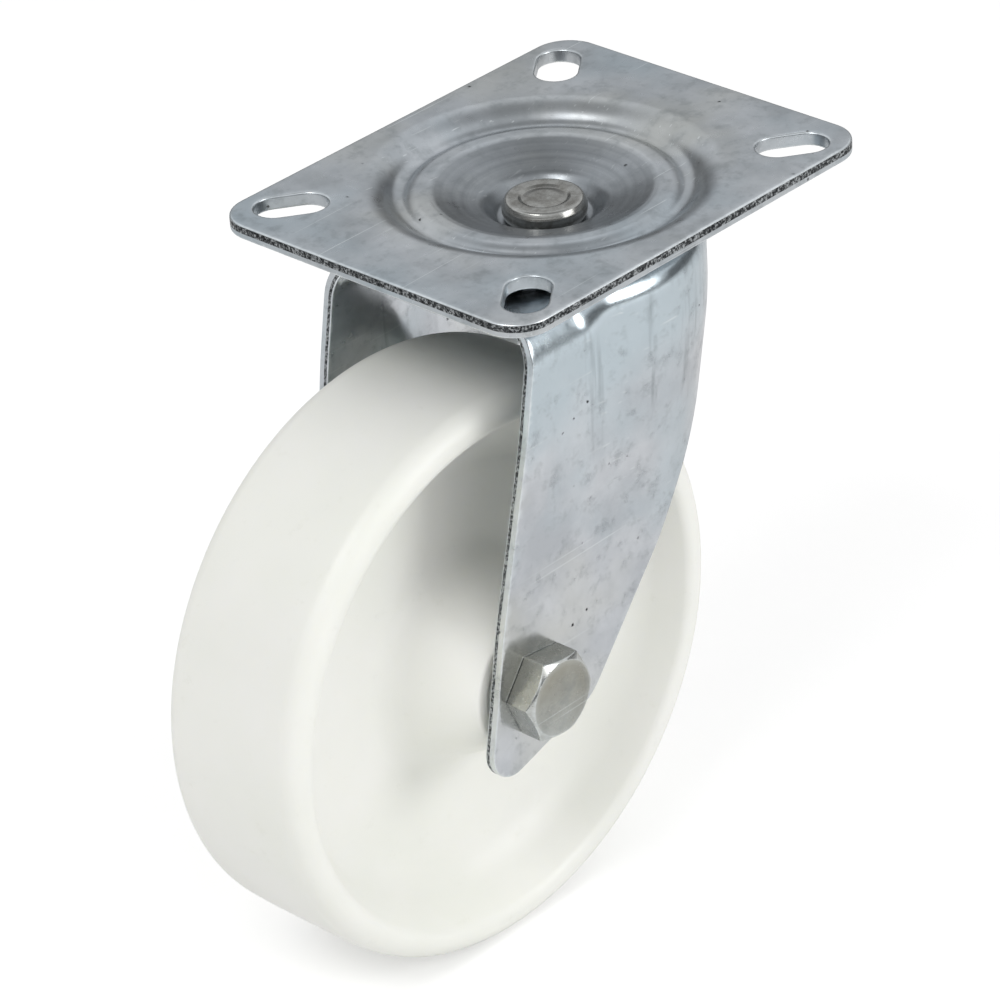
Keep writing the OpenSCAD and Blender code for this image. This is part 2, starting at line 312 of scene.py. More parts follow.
def zinc_plating(name, light, dark, blue, straw, rough, drawn=0.0, rings_and_shade_within=0.0):
    """Bright zinc on pressed steel, blue passivated: the barrel plating leaves it cloudy, with
    faint blue and straw stains, water spots, dark pores and fine scratches from handling."""
    material = bpy.data.materials.new(name)
    material.use_nodes = True
    tree = material.node_tree
    shader = tree.nodes["Principled BSDF"]
    shader.inputs["Metallic"].default_value = 1.0
    place = put(tree, "TexCoord").outputs["Object"]
    mm = put(tree, "VectorMath", {0: place, "Scale": 1 / MM}, operation="SCALE").outputs["Vector"]
    away = put(tree, "VectorMath", {0: mm, 1: (310, 170, 90)}, operation="ADD").outputs["Vector"]
    # clouds about 16 mm across
    cloud = put(
        tree, "TexNoise", {"Vector": mm, "Scale": 1 / 16, "Detail": 5.0, "Roughness": 0.6}
    ).outputs["Fac"]
    depth = put(tree, "MapRange", {"Value": cloud, "From Min": 0.36, "From Max": 0.64}).outputs["Result"]
    colour = put(tree, "Mix", {0: depth, 6: linear(dark), 7: linear(light)}, data_type="RGBA").outputs[2]
    # passivation tints, about 40 mm across
    stain = put(tree, "TexNoise", {"Vector": away, "Scale": 1 / 40, "Detail": 3.0}).outputs["Fac"]
    for tone, low, high, amount in ((blue, 0.50, 0.68, 0.75), (straw, 0.47, 0.33, 0.45)):
        part = put(tree, "MapRange", {"Value": stain, "From Min": low, "From Max": high, "To Max": amount})
        colour = put(
            tree, "Mix", {0: part.outputs["Result"], 6: colour, 7: linear(tone)}, data_type="RGBA"
        ).outputs[2]
    # water spots of 4 mm, only a shade darker
    spot = put(
        tree, "TexNoise", {"Vector": away, "Scale": 1 / 4, "Detail": 6.0, "Roughness": 0.68}
    ).outputs["Fac"]
    part = put(
        tree, "MapRange", {"Value": spot, "From Min": 0.52, "From Max": 0.68, "To Max": 0.34}
    ).outputs["Result"]
    colour = put(tree, "Mix", {0: part, 6: colour, 7: linear("#7d8486")}, data_type="RGBA").outputs[2]
    # pores in the plating, 0.5 mm across and 5 mm apart, in patches
    pore = put(tree, "TexVoronoi", {"Vector": mm, "Scale": 1 / 4.2, "Randomness": 1.0}).outputs["Distance"]
    ragged = put(tree, "TexNoise", {"Vector": mm, "Scale": 1 / 0.5, "Detail": 3.0}).outputs["Fac"]
    pore = put(tree, "Math", {0: ragged, 1: 0.16, 2: pore}, operation="MULTIPLY_ADD").outputs[0]
    pore = put(tree, "MapRange", {"Value": pore, "From Min": 0.19, "From Max": 0.135}).outputs["Result"]
    patch = put(tree, "MapRange", {"Value": cloud, "From Min": 0.52, "From Max": 0.58}).outputs["Result"]
    pore = put(tree, "Math", {0: pore, 1: patch}, operation="MULTIPLY").outputs[0]
    colour = put(tree, "Mix", {0: pore, 6: colour, 7: linear("#3d3f40")}, data_type="RGBA").outputs[2]
    # scratches: noise drawn out 60 times along two directions
    scratch = None
    for turn, shift in ((0.5, 0), (-0.9, 400), (1.9, 900)):
        way = put(tree, "Mapping", {
            "Vector": mm, "Location": (shift, shift, shift), "Rotation": (0.7 * turn, 0.25, turn),
            "Scale": (0.02, 1.3, 1.3)
        }).outputs[0]
        line = put(tree, "TexNoise", {"Vector": way, "Scale": 1.0, "Detail": 1.0}).outputs["Fac"]
        line = put(tree, "MapRange", {"Value": line, "From Min": 0.735, "From Max": 0.775}).outputs["Result"]
        scratch = line if scratch is None else put(
            tree, "Math", {0: scratch, 1: line}, operation="MAXIMUM"
        ).outputs[0]
    part = put(tree, "Math", {0: scratch, 1: 0.4}, operation="MULTIPLY").outputs[0]
    colour = put(tree, "Mix", {0: part, 6: colour, 7: linear("#e6ebec")}, data_type="RGBA").outputs[2]
    # inside this radius the dish is darkened towards grey as painted shade; the turned punch leaves real
    # rings 1.2 mm apart in it
    if rings_and_shade_within:
        flatwise = put(tree, "VectorMath", {0: mm, 1: (1, 1, 0)}, operation="MULTIPLY").outputs["Vector"]
        radius = put(tree, "VectorMath", {0: flatwise}, operation="LENGTH").outputs["Value"]
        ring = put(
            tree, "TexNoise", {"W": radius, "Scale": 1 / 1.2, "Detail": 3.0}, noise_dimensions="1D"
        ).outputs["Fac"]
        dish_shade_and_rings = put(tree, "MapRange", {"Value": radius, "From Min": rings_and_shade_within, "From Max": rings_and_shade_within - 1.5})
        ring = put(tree, "Math", {0: ring, 1: dish_shade_and_rings.outputs["Result"]}, operation="MULTIPLY").outputs[0]
        # painted shade: the whole dish darkened by 0.42 towards grey
        part = put(tree, "Math", {0: dish_shade_and_rings.outputs["Result"], 1: 0.42}, operation="MULTIPLY").outputs[0]
        part = put(tree, "Math", {0: ring, 1: 0.35, 2: part}, operation="MULTIPLY_ADD").outputs[0]
        colour = put(tree, "Mix", {0: part, 6: colour, 7: linear("#73777b")}, data_type="RGBA").outputs[2]
    # drawing marks: upright dark streaks 3 mm wide where the head slid over the die
    if drawn:
        pull = put(tree, "Mapping", {"Vector": mm, "Scale": (0.28, 0.28, 0.016)}).outputs[0]
        streak = put(
            tree, "TexNoise", {"Vector": pull, "Scale": 1.0, "Detail": 4.0, "Roughness": 0.6}
        ).outputs["Fac"]
        streak = put(tree, "MapRange", {"Value": streak, "From Min": 0.58, "From Max": 0.74, "To Max": drawn})
        level = put(tree, "SeparateXYZ", {0: mm}).outputs["Z"]
        on_head = put(tree, "MapRange", {"Value": level, "From Min": -52, "From Max": -38}).outputs["Result"]
        part = put(tree, "Math", {0: streak.outputs["Result"], 1: on_head}, operation="MULTIPLY").outputs[0]
        colour = put(tree, "Mix", {0: part, 6: colour, 7: linear("#6b7276")}, data_type="RGBA").outputs[2]
    # arrises rubbed bright
    worn = put(tree, "Attribute", attribute_name="worn").outputs["Fac"]
    rub = put(
        tree, "MapRange", {"Value": spot, "From Min": 0.3, "From Max": 0.6, "To Min": 1.0, "To Max": 0.45}
    )
    rub = put(tree, "Math", {0: worn, 1: rub.outputs["Result"]}, operation="MULTIPLY").outputs[0]
    colour = put(tree, "Mix", {0: rub, 6: colour, 7: linear("#e9eef0")}, data_type="RGBA").outputs[2]
    tree.links.new(colour, shader.inputs["Base Color"])
    gloss = put(tree, "MapRange", {
        "Value": spot, "From Min": 0.3, "From Max": 0.7, "To Min": rough - 0.07, "To Max": rough + 0.09
    }).outputs["Result"]
    gloss = put(tree, "Math", {0: pore, 1: 0.3, 2: gloss}, operation="MULTIPLY_ADD").outputs[0]
    tree.links.new(gloss, shader.inputs["Roughness"])
    # the sheet's own orange peel (2.5 mm), then its grain (0.35 mm), pores and scratches
    peel = put(tree, "TexNoise", {"Vector": mm, "Scale": 1 / 2.5, "Detail": 3.0}).outputs["Fac"]
    grain = put(tree, "TexNoise", {"Vector": mm, "Scale": 1 / 0.35, "Detail": 2.0}).outputs["Fac"]
    relief = put(tree, "Math", {0: grain, 1: 0.12, 2: peel}, operation="MULTIPLY_ADD").outputs[0]
    relief = put(tree, "Math", {0: pore, 1: -2.5, 2: relief}, operation="MULTIPLY_ADD").outputs[0]
    relief = put(tree, "Math", {0: scratch, 1: -0.3, 2: relief}, operation="MULTIPLY_ADD").outputs[0]
    if rings_and_shade_within:
        relief = put(tree, "Math", {0: ring, 1: 0.5, 2: relief}, operation="MULTIPLY_ADD").outputs[0]
    bump = put(tree, "Bump", {"Height": relief, "Strength": 0.55, "Distance": 0.03 * MM})
    tree.links.new(bump.outputs[0], shader.inputs["Normal"])
    return material


plate_zinc = zinc_plating(
    "zinc_plated_steel_satin", "#bdc1c5", "#a3a8ac", "#a6b3bb", "#b4b3aa", 0.32, rings_and_shade_within=23.0
)

def sheared_steel(name, torn):
    """The torn part of a sheared rim, thinly plated: dark pits between bright flecks."""
    material = bpy.data.materials.new(name)
    material.use_nodes = True
    tree = material.node_tree
    shader = tree.nodes["Principled BSDF"]
    shader.inputs["Metallic"].default_value = 1.0
    place = put(tree, "TexCoord").outputs["Object"]
    mm = put(tree, "VectorMath", {0: place, "Scale": 1 / MM}, operation="SCALE").outputs["Vector"]
    tear = put(
        tree, "TexNoise", {"Vector": mm, "Scale": 1 / 0.55, "Detail": 4.0, "Roughness": 0.7}
    ).outputs["Fac"]
    shade = put(tree, "ValToRGB", {0: tear})
    pits = 0.28 + 0.14 * torn
    stops = shade.color_ramp.elements
    stops[0].position, stops[0].color = pits, linear("#2a2c2e")
    stops[1].position, stops[1].color = pits + 0.2, linear("#b4b8ba")
    stops.new(pits + 0.1).color = linear("#5e6163")
    tree.links.new(shade.outputs[0], shader.inputs["Base Color"])
    gloss = put(
        tree, "MapRange", {"Value": tear, "From Min": 0.35, "From Max": 0.65, "To Min": 0.62, "To Max": 0.34}
    )
    tree.links.new(gloss.outputs["Result"], shader.inputs["Roughness"])
    bump = put(tree, "Bump", {"Height": tear, "Strength": 0.8, "Distance": 0.08 * MM})
    tree.links.new(bump.outputs[0], shader.inputs["Normal"])
    return material


# the plate's thick sheet tore along the upper third of its rim; below it the die burnished it
sheared = sheared_steel("steel_sheared_thick_sheet", 1.0)

plate_l, plate_w, plate_t, corner_r = 104, 82, 3, 8
slot_w, slot_l, slot_x, slot_y, slot_turn = 9, 15, 39.5, 31.5, math.radians(36)
dish_r, ring_r, well_r, well_z, pin_r = 33.4, 22.6, 12.6, -9.24, 6
ball_ring_r, ball_z, ball_groove = 23.5, -7.45, 3.1
dish_edge = dish_r + 4
steps = 256


def plate_loop(inset, z):
    """The plate's outline, drawn in by inset."""
    a, b = plate_l / 2 - inset, plate_w / 2 - inset
    r = corner_r - inset
    turns = [math.radians(90 * q + t) for q in range(4) for t in np.linspace(0, 90, 19)]
    centres = [(x * (a - r), y * (b - r)) for x, y in ((1, 1), (-1, 1), (-1, -1), (1, -1)) for _ in range(19)]
    loop = [(cx + r * math.cos(t), cy + r * math.sin(t)) for t, (cx, cy) in zip(turns, centres)]
    out = []
    for k, here in enumerate(loop):
        out.append(here)
        if k % 19 == 18:
            then = loop[(k + 1) % len(loop)]
            out += [tuple(np.array(here) + (np.array(then) - here) * f) for f in np.linspace(0, 1, 26)[1:-1]]
    return np.c_[np.array(out), np.full(len(out), z)]


def slot_loop(cx, cy, turn, outset, z):
    """A bolt slot's outline, widened by outset."""
    reach, r = (slot_l - slot_w) / 2, slot_w / 2 + outset
    points = []
    for side in (1, -1):
        for t in np.linspace(-90, 90, 17):
            t = math.radians(t + (0 if side > 0 else 180))
            points.append((side * reach + r * math.cos(t), r * math.sin(t)))
    points = closer(np.array(points), 1.4, closed=True)
    c, s = math.cos(turn), math.sin(turn)
    xy = points @ np.array([[c, s], [-s, c]]) + (cx, cy)
    return np.c_[xy, np.full(len(xy), z)]


plate = Builder()
slots = [(x * slot_x, y * slot_y, x * y * slot_turn) for x in (1, -1) for y in (1, -1)]
# across the rim: how far in from the edge, height, and wear of that row
flat_from = 1.3
rim = (
    (flat_from, 0, 0), (0.55, 0, 0.1), (0.32, -0.03, 0.7), (0.12, -0.13, 1), (0.03, -0.3, 0.8),
    (0, -0.48, 0.2), (0, -1.7, 0.2), (0, -2.5, 0.2),
    (0.05, -2.75, 0.9), (0.2, -2.94, 1), (0.4, -3, 0.3), (flat_from, -3, 0)
)
rim_finish = [0, 0, 0, 0, 1, 1, 0, 0, 0, 0, 0]
plate.band([plate_loop(inset, z) for inset, z, _ in rim], rim_finish, [w for *_, w in rim])
for cx, cy, turn in slots:
    plate.band(
        [slot_loop(cx, cy, turn, inset, z) for inset, z, _ in rim], [0] * (len(rim) - 1),
        [w * 0.8 for *_, w in rim]
    )
circle = np.array([(math.cos(t), math.sin(t)) for t in np.arange(steps) * 2 * math.pi / steps]) * dish_edge
grid = np.array([(x, y) for x in np.arange(-50, 51, 3.0) for y in np.arange(-39, 40, 3.0)])
for z in (0, -plate_t):
    flat, faces = fill(
        plate_loop(flat_from, z)[:, :2],
        [slot_loop(cx, cy, t, flat_from, z)[:, :2] for cx, cy, t in slots] + [circle],
        grid
    )
    plate.add(np.c_[flat, np.full(len(flat), z)], faces)
top = filleted([
    (dish_edge, 0), (dish_r, 0, 7), (dish_r - 3.4, -3.5, 2.5), (dish_r - 5.3, -3.5, 1.2),
    (dish_r - 6.9, -2.25, 3.3),
    (ring_r, -2.25, 4), (well_r, -5.75, 3.3), (well_r - 3, well_z, 1.2), (pin_r + 0.05, well_z)
])
top = closer(top, 0.45)
along = np.gradient(top, axis=0)
along /= np.linalg.norm(along, axis=1)[:, None]
under = top + plate_t * np.c_[-along[:, 1], along[:, 0]]
under[0], under[-1] = (dish_edge, -plate_t), (pin_r + 0.05, well_z - plate_t)
under = closer(under, 0.35)
# the scribed ring and the wide turned marks that the forming punch leaves round it
scribe = np.exp(-((top[:, 0] - 22.75) / 0.22) ** 2) * 0.10
marks = 0.006 * np.sin(top[:, 0] * 2 * math.pi / 1.45) * ((top[:, 0] > 12.5) & (top[:, 0] < 26))
top[:, 1] -= scribe + marks
reach = np.sqrt(np.maximum(ball_groove ** 2 - (under[:, 0] - ball_ring_r) ** 2, 0))
under[:, 1] = np.where(reach > 0, np.maximum(under[:, 1], ball_z + reach), under[:, 1])
plate.add(*lathe(np.concatenate([top, under[::-1]]), steps))
plate.piece("top_plate_pressed", "plate", "top_plate", "plate_zinc", [plate_zinc, sheared])

# Kingpin. A bare steel rivet through the plate's well and the lower race. Its head is
# turned like a barrel, and the riveting die leaves a ring and a dull disc on top.
pin_steel = bpy.data.materials.new("steel_turned_bare")
pin_steel.use_nodes = True
tree = pin_steel.node_tree
shader = tree.nodes["Principled BSDF"]
shader.inputs["Metallic"].default_value = 1.0
place = put(tree, "TexCoord").outputs["Object"]
mm = put(tree, "VectorMath", {0: place, "Scale": 1 / MM}, operation="SCALE").outputs["Vector"]
rust = put(tree, "TexNoise", {"Vector": mm, "Scale": 1 / 3, "Detail": 6.0, "Roughness": 0.7}).outputs["Fac"]
part = put(tree, "MapRange", {"Value": rust, "From Min": 0.4, "From Max": 0.68}).outputs["Result"]
colour = put(tree, "Mix", {0: part, 6: linear("#959592"), 7: linear("#706e69")}, data_type="RGBA").outputs[2]
worn = put(tree, "Attribute", attribute_name="worn").outputs["Fac"]
colour = put(tree, "Mix", {0: worn, 6: colour, 7: linear("#c9cac8")}, data_type="RGBA").outputs[2]
tree.links.new(colour, shader.inputs["Base Color"])
gloss = put(
    tree, "MapRange", {"Value": rust, "From Min": 0.3, "From Max": 0.7, "To Min": 0.16, "To Max": 0.28}
)
tree.links.new(gloss.outputs["Result"], shader.inputs["Roughness"])
# tool marks: rings 0.4 mm apart
squeeze = put(tree, "Mapping", {"Vector": mm, "Scale": (0.12, 0.12, 2.4)}).outputs[0]
rings = put(tree, "TexNoise", {"Vector": squeeze, "Scale": 1.0, "Detail": 3.0}).outputs["Fac"]
relief = put(tree, "Math", {0: rust, 1: 0.5, 2: rings}, operation="MULTIPLY_ADD").outputs[0]
bump = put(tree, "Bump", {"Height": relief, "Strength": 0.6, "Distance": 0.05 * MM})
tree.links.new(bump.outputs[0], shader.inputs["Normal"])

head_rim_r, head_h, belly_r = 7.85, 4.5, 8.65
crown_z = well_z + head_h
foot_z = -12.24 - 2
pin = Builder()
profile = closer(filleted([
    (0, crown_z - 0.22), (3.2, crown_z - 0.25, 8), (4.6, crown_z - 0.38, 0.4), (5.3, crown_z, 0.5),
    (head_rim_r, crown_z - 0.02, 0.7),
    (belly_r, crown_z - 1.6, 2.2), (belly_r, well_z + 1.3, 2.2), (head_rim_r + 0.2, well_z, 0.2),
    (pin_r, well_z)
], 0.15), 0.5)
foot = filleted([
    (pin_r, foot_z), (belly_r, foot_z), (belly_r, foot_z - 1.4, 1), (belly_r - 3, foot_z - 3.6, 2),
    (0, foot_z - 3.6)
])
profile = np.concatenate([profile, foot])
wear = np.exp(-((profile[:, 0] - head_rim_r) / 0.5) ** 2) * (profile[:, 1] > crown_z - 1.2)
verts, faces = lathe(profile, 128)
pin.add(verts, faces, 0, np.repeat(wear * 0.35, 128))
pin.piece("kingpin_turned", "plate", "kingpin", "pin_steel", [pin_steel], weld=0.01)


def dress(names, material):
    """Gives CAD nodes, whose shape is right as it is, their real finish."""
    for name in names:
        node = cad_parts[name]
        if not node.material_slots:
            node.data.materials.append(material)
        for place in node.material_slots:
            place.material = material


# Lower race and balls. The race is a pressed cup, zinc plated and hidden under the crown;
# the balls are hardened chrome steel, ground and polished, with a film of grease.
race_zinc = zinc_plating("zinc_plated_steel_race", "#aab2b5", "#878f92", "#9fb0b8", "#aaa896", 0.38)
dress(["lower_race"], race_zinc)
ball_steel = bpy.data.materials.new("steel_hardened_polished")
ball_steel.use_nodes = True
tree = ball_steel.node_tree
shader = tree.nodes["Principled BSDF"]
shader.inputs["Metallic"].default_value = 1.0
place = put(tree, "TexCoord").outputs["Object"]
mm = put(tree, "VectorMath", {0: place, "Scale": 1 / MM}, operation="SCALE").outputs["Vector"]
grease = put(tree, "TexNoise", {"Vector": mm, "Scale": 1 / 3.5, "Detail": 3.0}).outputs["Fac"]
part = put(tree, "MapRange", {"Value": grease, "From Min": 0.45, "From Max": 0.65}).outputs["Result"]
colour = put(tree, "Mix", {0: part, 6: linear("#c4c6c7"), 7: linear("#8c8371")}, data_type="RGBA").outputs[2]
tree.links.new(colour, shader.inputs["Base Color"])
gloss = put(
    tree, "MapRange", {"Value": grease, "From Min": 0.4, "From Max": 0.7, "To Min": 0.1, "To Max": 0.32}
)
tree.links.new(gloss.outputs["Result"], shader.inputs["Roughness"])
dress(
    [
        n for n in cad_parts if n.startswith(
            ("upper_ball_", "lower_ball_", "roller_")
        ) and n != "roller_cage"
    ], ball_steel
)

# Yoke. One 2.5 mm steel sheet: a round head drawn over the ball races, and two legs bent
# down from it that merge with the head's side. Cut to outline, pierced, then zinc plated.
yoke_zinc = zinc_plating(
    "zinc_plated_steel_drawn", "#d6d9dd", "#bdc1c6", "#c0ced5", "#cbcabf", 0.21, drawn=0.42
)
# its thinner sheet sheared almost clean: only the inner third of the cut is pitted
sheared_thin = sheared_steel("steel_sheared_thin_sheet", 0.7)
yoke_t, crown_top, crown_half, fork_half, head_r = 2.5, -9.89, 28.2, 26.0, 32.0
leg_bend, head_bend = 11.0, 6.0
crown_hole_r = 16.2
low_ring_r, low_ball_z, low_groove = 20.5, -14.39, 2.6
axle_x, axle_z, leg_hole_r = -37.0, -92.0, 5.2
round_l = head_r * math.pi / 2
edge_round = 0.35


def ramp(t, soft):
    """Nought up to t = 0, then t, with the kink softened."""
    return np.where(t < -soft, 0, np.where(t > soft, t, (t + soft) ** 2 / (4 * soft)))


def leg_reach(z):
    """Half the width over the legs at height z: they lean in towards the axle."""
    return crown_half - (crown_half - fork_half) / 40.1 * (ramp(-35.9 - z, 4) - ramp(-76 - z, 4))


def head_reach(z):
    """The head's radius at height z: straight, then slightly conical."""
    return head_r - 7.6 / 59.1 * ramp(-26.9 - z, 6)


def blended(a, b, soft):
    """The greater of a and b, with a fillet where they meet."""
    near = np.maximum(soft - np.abs(a - b), 0) / soft
    return np.maximum(a, b) + near ** 2 * soft / 4


def bend_at(s):
    t = np.clip((-14 - s) / 7, 0, 1)
    return head_bend + (leg_bend - head_bend) * t * t * (3 - 2 * t)


def skin(s, w):
    """The sheet's outer face on the -Y side. s runs back along the leg and then round the
    head, w runs from the start of the bend outwards and down."""
    bend = bend_at(s)
    angle = np.clip(w / bend, 0, math.pi / 2)
    z = crown_top - bend * (1 - np.cos(angle)) - np.maximum(w - bend * math.pi / 2, 0)
    x = np.minimum(s, 0)
    soft = np.interp(z, (-62, -40), (1.6, 4.4))
    leg, head = leg_reach(z), head_reach(z)
    flank = blended(leg, np.sqrt(np.maximum(head ** 2 - x ** 2, 0)), soft)
    t = np.clip(s / 9, 0, 1)
    round_side = head + (blended(leg, head, soft) - head) * (1 - t * t * (3 - 2 * t))
    out = np.where(s <= 0, flank, round_side) - bend * (1 - np.sin(angle))
    turn = np.maximum(s, 0) / round_l * math.pi / 2
    return np.stack([np.where(s <= 0, s, out * np.sin(turn)), -out * np.cos(turn), z], -1)


def skin_normal(s, w):
    e = 0.02
    along = skin(s + e, w) - skin(s - e, w)
    down = skin(s, w + e) - skin(s, np.maximum(w - e, 0))
    n = np.cross(along, down)
    n /= np.linalg.norm(n, axis=1)[:, None]
    here = skin(s, w)
    out = here - np.stack([0.3 * here[:, 0], 0 * s, np.full_like(s, -60.0)], -1)
    return n * np.sign((n * out).sum(1))[:, None]


def w_at(s, z):
    """How far down the sheet a height lies."""
    bend = bend_at(s)
    drop = crown_top - z
    arc = bend * np.arccos(np.clip(1 - drop / bend, 0, 1))
    return np.where(drop < bend, arc, bend * math.pi / 2 + drop - bend)


side = closer(filleted([
    (-32, 0), (-52.7, -111.2, 6), (-21.5, -102.2, 14), (-2, -78.8, 60), (9.5, -61, 40), (20, -44, 20),
    (35, -33), (35, 0)
], 0.8), 1.0)
side = side[(side[:, 1] < crown_top - 0.3) & (side[:, 0] < head_reach(side[:, 1]) - 0.05)]
side = side[:np.argmax(side[:, 0]) + 1]
lean = (52.7 - 32) / 111.2
front_x = -32 + lean * crown_top
flat_s = np.minimum(side[:, 0], 0)
turn_s = np.arcsin(np.clip(side[:, 0] / head_reach(side[:, 1]), 0, 1)) * head_r
s_side = np.where(side[:, 0] <= 0, flat_s, turn_s)
edge = np.c_[s_side, w_at(s_side, side[:, 1])]
rear_z = float(np.interp(0, [side[-1, 0] - head_r, 35 - head_reach(-33)], [side[-1, 1], -33.0]))
edge = np.concatenate([[(front_x, 0)], edge, [(round_l, w_at(np.array(round_l), rear_z))]])
edge = closer(edge, 1.0)
way = np.gradient(edge, axis=0)
way /= np.linalg.norm(way, axis=1)[:, None]
inner_edge = edge + edge_round * np.c_[way[:, 1], -way[:, 0]]
inner_edge[0] = (edge[0, 0] + edge_round, 0)
inner_edge[-1] = (round_l, edge[-1, 1] - edge_round)

seam = np.array([(round_l, w) for w in np.arange(1.2, inner_edge[-1, 1] - 0.6, 1.2)])[::-1]
ridge = np.array([(s, 0) for s in np.linspace(round_l, inner_edge[0, 0], 70)[:-1]])
outline = np.concatenate([inner_edge, seam, ridge])
hole_w = float(w_at(np.array(axle_x), axle_z))
hole_turns = np.arange(48) * math.pi / 24
hole = np.c_[axle_x + leg_hole_r * np.cos(hole_turns), hole_w + leg_hole_r * np.sin(hole_turns)]
rows = np.concatenate([np.arange(0.7, 19, 0.7), np.arange(19.6, 125, 1.2)])
grid = np.array([(s, w) for s in np.arange(-53, round_l, 1.2) for w in rows])
apart = np.array([np.min(((outline - p) ** 2).sum(1)) for p in grid]) > 0.5 ** 2
apart &= ((grid - (axle_x, hole_w)) ** 2).sum(1) > (leg_hole_r + 0.6) ** 2
flat, faces = fill(outline, [hole], grid[apart])
mirror = np.array((1, -1, 1))
yoke = Builder()
outer, thick = skin(flat[:, 0], flat[:, 1]), skin_normal(flat[:, 0], flat[:, 1]) * yoke_t
for flip in (1, mirror):
    yoke.add(outer * flip, faces)
    yoke.add((outer - thick) * flip, faces)
    ring, depth = skin(hole[:, 0], hole[:, 1]), skin_normal(hole[:, 0], hole[:, 1]) * yoke_t
    yoke.band([ring * flip, (ring - depth) * flip], [1], [0.5, 0.5])
# the crown's flat top and underside, with the grooves that the balls run in
shore = skin(ridge[:, 0], ridge[:, 1] * 0)[:, :2]
start = skin(inner_edge[:1, 0], inner_edge[:1, 1])[:, :2]
bow_y = np.linspace(-start[0, 1], start[0, 1], 26)[1:-1]
bow = np.c_[np.full(len(bow_y), inner_edge[0, 0]), bow_y]
crown_loop = np.concatenate([start, shore[::-1], shore[1:] * (1, -1), start * (1, -1), bow])
turns = np.arange(144) * math.pi / 72
rings = np.array([
    (r * math.cos(t), r * math.sin(t)) for r in np.arange(crown_hole_r + 0.45, 25.6, 0.45) for t in turns
])
pier = np.array([(math.cos(t), math.sin(t)) for t in turns]) * crown_hole_r
spare = np.array(
    [(x, y) for x in np.arange(-33, -14, 1.6) for y in np.arange(-24, 25, 1.6) if math.hypot(x, y) > 26.2]
)
points = np.concatenate([rings, spare])
points = points[[np.min(((crown_loop - p) ** 2).sum(1)) > 0.3 ** 2 for p in points]]
flat, faces = fill(crown_loop, [pier], points)
far = np.hypot(flat[:, 0], flat[:, 1])
dip = np.sqrt(np.maximum(ball_groove ** 2 - (far - ball_ring_r) ** 2, 0))
z = np.where(dip > 0, np.minimum(crown_top, ball_z - dip), crown_top)
yoke.add(np.c_[flat, z], faces)
dip = np.sqrt(np.maximum(low_groove ** 2 - (far - low_ring_r) ** 2, 0))
z = np.where(dip > 0, np.maximum(crown_top - yoke_t, low_ball_z + dip), crown_top - yoke_t)
yoke.add(np.c_[flat, z], faces)
high, low = (np.c_[pier, np.full(len(pier), z)] for z in (crown_top, crown_top - yoke_t))
yoke.band([high, low], [1], [0, 0])
# the cut edge all the way round: both legs, the head's rear and the crown's front
nose = np.c_[np.full(len(bow), edge[0, 0]), bow_y, np.full(len(bow), crown_top)]
nose_in = np.c_[bow, np.full(len(bow), crown_top)]
up = np.tile((0.0, 0.0, 1.0), (len(bow), 1))


def all_round(half, front):
    return np.concatenate([half, (half[:-1] * mirror)[::-1], front])


cut = all_round(skin(edge[:, 0], edge[:, 1]), nose)
lip = all_round(skin(inner_edge[:, 0], inner_edge[:, 1]), nose_in)
cut_in = all_round(skin_normal(edge[:, 0], edge[:, 1]), up)
lip_in = all_round(skin_normal(inner_edge[:, 0], inner_edge[:, 1]), up)
soft_edge = lip + (cut - lip) * 0.71
yoke.band([
    lip, soft_edge - 0.1 * cut_in, cut - edge_round * cut_in, cut - 1.4 * cut_in,
    cut - (yoke_t - edge_round) * cut_in, soft_edge - (yoke_t - 0.1) * cut_in, lip - yoke_t * lip_in
], [0, 0, 0, 1, 0, 0], [0.5, 1, 0.5, 0.3, 0.5, 1, 0.4])
yoke.piece("yoke_drawn", "yoke", "yoke", "yoke_zinc", [yoke_zinc, sheared_thin], weld=0.03)

# Wheel. Cast polyamide, natural white, machined on the tread: a wide rim, a web and a hub
# in one piece. Satin, slightly translucent, faint turning marks and a few scuffs.
polyamide = bpy.data.materials.new("polyamide_cast_natural")
polyamide.use_nodes = True
tree = polyamide.node_tree
shader = tree.nodes["Principled BSDF"]
shader.inputs["IOR"].default_value = 1.53
shader.inputs["Subsurface Weight"].default_value = 0.25
shader.inputs["Subsurface Radius"].default_value = (1.0, 0.97, 0.85)
shader.inputs["Subsurface Scale"].default_value = 3 * MM
place = put(tree, "TexCoord").outputs["Object"]
mm = put(tree, "VectorMath", {0: place, "Scale": 1 / MM}, operation="SCALE").outputs["Vector"]
flow = put(tree, "TexNoise", {"Vector": mm, "Scale": 1 / 35, "Detail": 3.0}).outputs["Fac"]
part = put(tree, "MapRange", {"Value": flow, "From Min": 0.35, "From Max": 0.65}).outputs["Result"]
colour = put(tree, "Mix", {0: part, 6: linear("#f5f5f0"), 7: linear("#f1f2eb")}, data_type="RGBA").outputs[2]
dirt = put(tree, "TexNoise", {"Vector": mm, "Scale": 1 / 5, "Detail": 7.0, "Roughness": 0.75}).outputs["Fac"]
part = put(
    tree, "MapRange", {"Value": dirt, "From Min": 0.60, "From Max": 0.76, "To Max": 0.18}
).outputs["Result"]
colour = put(tree, "Mix", {0: part, 6: colour, 7: linear("#c9c8b8")}, data_type="RGBA").outputs[2]
tree.links.new(colour, shader.inputs["Base Color"])
gloss = put(
    tree, "MapRange", {"Value": dirt, "From Min": 0.3, "From Max": 0.7, "To Min": 0.36, "To Max": 0.5}
)
tree.links.new(gloss.outputs["Result"], shader.inputs["Roughness"])
